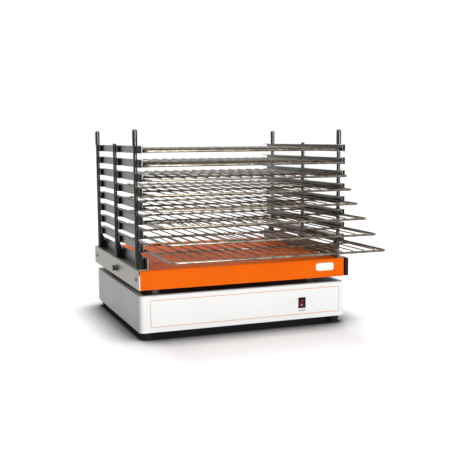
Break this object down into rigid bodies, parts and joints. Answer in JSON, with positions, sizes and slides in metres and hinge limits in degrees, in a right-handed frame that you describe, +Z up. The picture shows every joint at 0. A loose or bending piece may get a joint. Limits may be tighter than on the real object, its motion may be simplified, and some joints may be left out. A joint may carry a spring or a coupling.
{
  "type": "platelet agitator",
  "caption": "Flatbed agitator: motor base with a reciprocating tray that carries a rack of pull-out wire shelves for platelet bags.",
  "frame": {"origin": "on the bench, midway between the four feet", "axes": "+X to the right along the stroke, -Y to the front where the shelves pull out, +Z up"},
  "size_m": [0.603, 0.75, 0.53],
  "materials": {
    "white_paint": "satin",
    "orange_paint": "satin",
    "black_paint": "satin",
    "stainless": "satin",
    "polished_steel": "polished",
    "bright_wire": "polished",
    "aluminium": "satin",
    "rubber": "matte",
    "black_plastic": "matte",
    "nylon_white": "matte",
    "motor_grey": "satin",
    "board_green": "matte",
    "red_rocker": "gloss"
  },
  "bodies": {
    "base": {"base_housing": "white_paint", "base_floor": "white_paint", "rubber_feet": "rubber", "guide_rail_front": "polished_steel", "guide_rail_back": "polished_steel", "rail_supports": "aluminium", "gear_motor": "motor_grey", "control_board": "board_green", "switch_bezel": "black_plastic", "power_inlet": "black_plastic"},
    "carriage": {"tray_pan": "orange_paint", "end_plate_left": "stainless", "end_cap_right": "black_paint", "end_plate_screws": "stainless", "end_plate_bolt": "stainless", "bearing_blocks": "aluminium", "drive_yoke": "nylon_white", "post_sleeves": "polished_steel", "post_caps": "polished_steel", "post_left_front": "polished_steel", "post_left_middle": "polished_steel", "post_left_back": "polished_steel", "runner_left_1": "stainless", "runner_left_2": "stainless", "runner_left_3": "stainless", "runner_left_4": "stainless", "runner_left_5": "stainless", "runner_left_6": "stainless", "runner_left_7": "stainless", "runner_left_8": "stainless", "clamp_blocks_left": "black_plastic", "post_feet_left": "black_paint", "side_plate_left": "stainless", "post_right_front": "polished_steel", "post_right_middle": "polished_steel", "post_right_back": "polished_steel", "runner_right_1": "stainless", "runner_right_2": "stainless", "runner_right_3": "stainless", "runner_right_4": "stainless", "runner_right_5": "stainless", "runner_right_6": "stainless", "runner_right_7": "stainless", "runner_right_8": "stainless", "clamp_blocks_right": "black_plastic", "post_feet_right": "black_paint", "side_plate_right": "stainless"},
    "crank": {"crank_disc": "polished_steel", "crank_roller": "nylon_white"},
    "rocker": {"switch_rocker": "red_rocker"},
    "shelf_1": {"shelf_1": "bright_wire"},
    "shelf_2": {"shelf_2": "bright_wire"},
    "shelf_3": {"shelf_3": "bright_wire"},
    "shelf_4": {"shelf_4": "bright_wire"},
    "shelf_5": {"shelf_5": "bright_wire"},
    "shelf_6": {"shelf_6": "bright_wire"},
    "shelf_7": {"shelf_7": "bright_wire"},
    "shelf_8": {"shelf_8": "bright_wire"}
  },
  "joints": [
    {"name": "carriage_slide", "type": "slide", "parent": "base", "child": "carriage", "axis": [1, 0, 0], "range_m": [-0.018, 0.018]},
    {"name": "crank_turn", "type": "hinge", "parent": "base", "child": "crank", "pos_m": [0, 0, 0.117], "axis": [0, 0, 1], "range_deg": [-90.5, 90.5]},
    {"name": "switch_tilt", "type": "hinge", "parent": "base", "child": "rocker", "pos_m": [0.16, -0.248, 0.0645], "axis": [1, 0, 0], "range_deg": [-20, 0]},
    {"name": "shelf_1_slide", "type": "slide", "parent": "carriage", "child": "shelf_1", "axis": [0, -1, 0], "range_m": [0, 0.3]},
    {"name": "shelf_2_slide", "type": "slide", "parent": "carriage", "child": "shelf_2", "axis": [0, -1, 0], "range_m": [-0.021, 0.279]},
    {"name": "shelf_3_slide", "type": "slide", "parent": "carriage", "child": "shelf_3", "axis": [0, -1, 0], "range_m": [-0.04, 0.26]},
    {"name": "shelf_4_slide", "type": "slide", "parent": "carriage", "child": "shelf_4", "axis": [0, -1, 0], "range_m": [-0.065, 0.235]},
    {"name": "shelf_5_slide", "type": "slide", "parent": "carriage", "child": "shelf_5", "axis": [0, -1, 0], "range_m": [-0.098, 0.202]},
    {"name": "shelf_6_slide", "type": "slide", "parent": "carriage", "child": "shelf_6", "axis": [0, -1, 0], "range_m": [-0.142, 0.158]},
    {"name": "shelf_7_slide", "type": "slide", "parent": "carriage", "child": "shelf_7", "axis": [0, -1, 0], "range_m": [-0.19, 0.11]},
    {"name": "shelf_8_slide", "type": "slide", "parent": "carriage", "child": "shelf_8", "axis": [0, -1, 0], "range_m": [-0.235, 0.065]}
  ],
  "couplings": [
    {"joint": "crank_turn", "follows": "carriage_slide", "rad_per_m": 87.266}
  ]
}
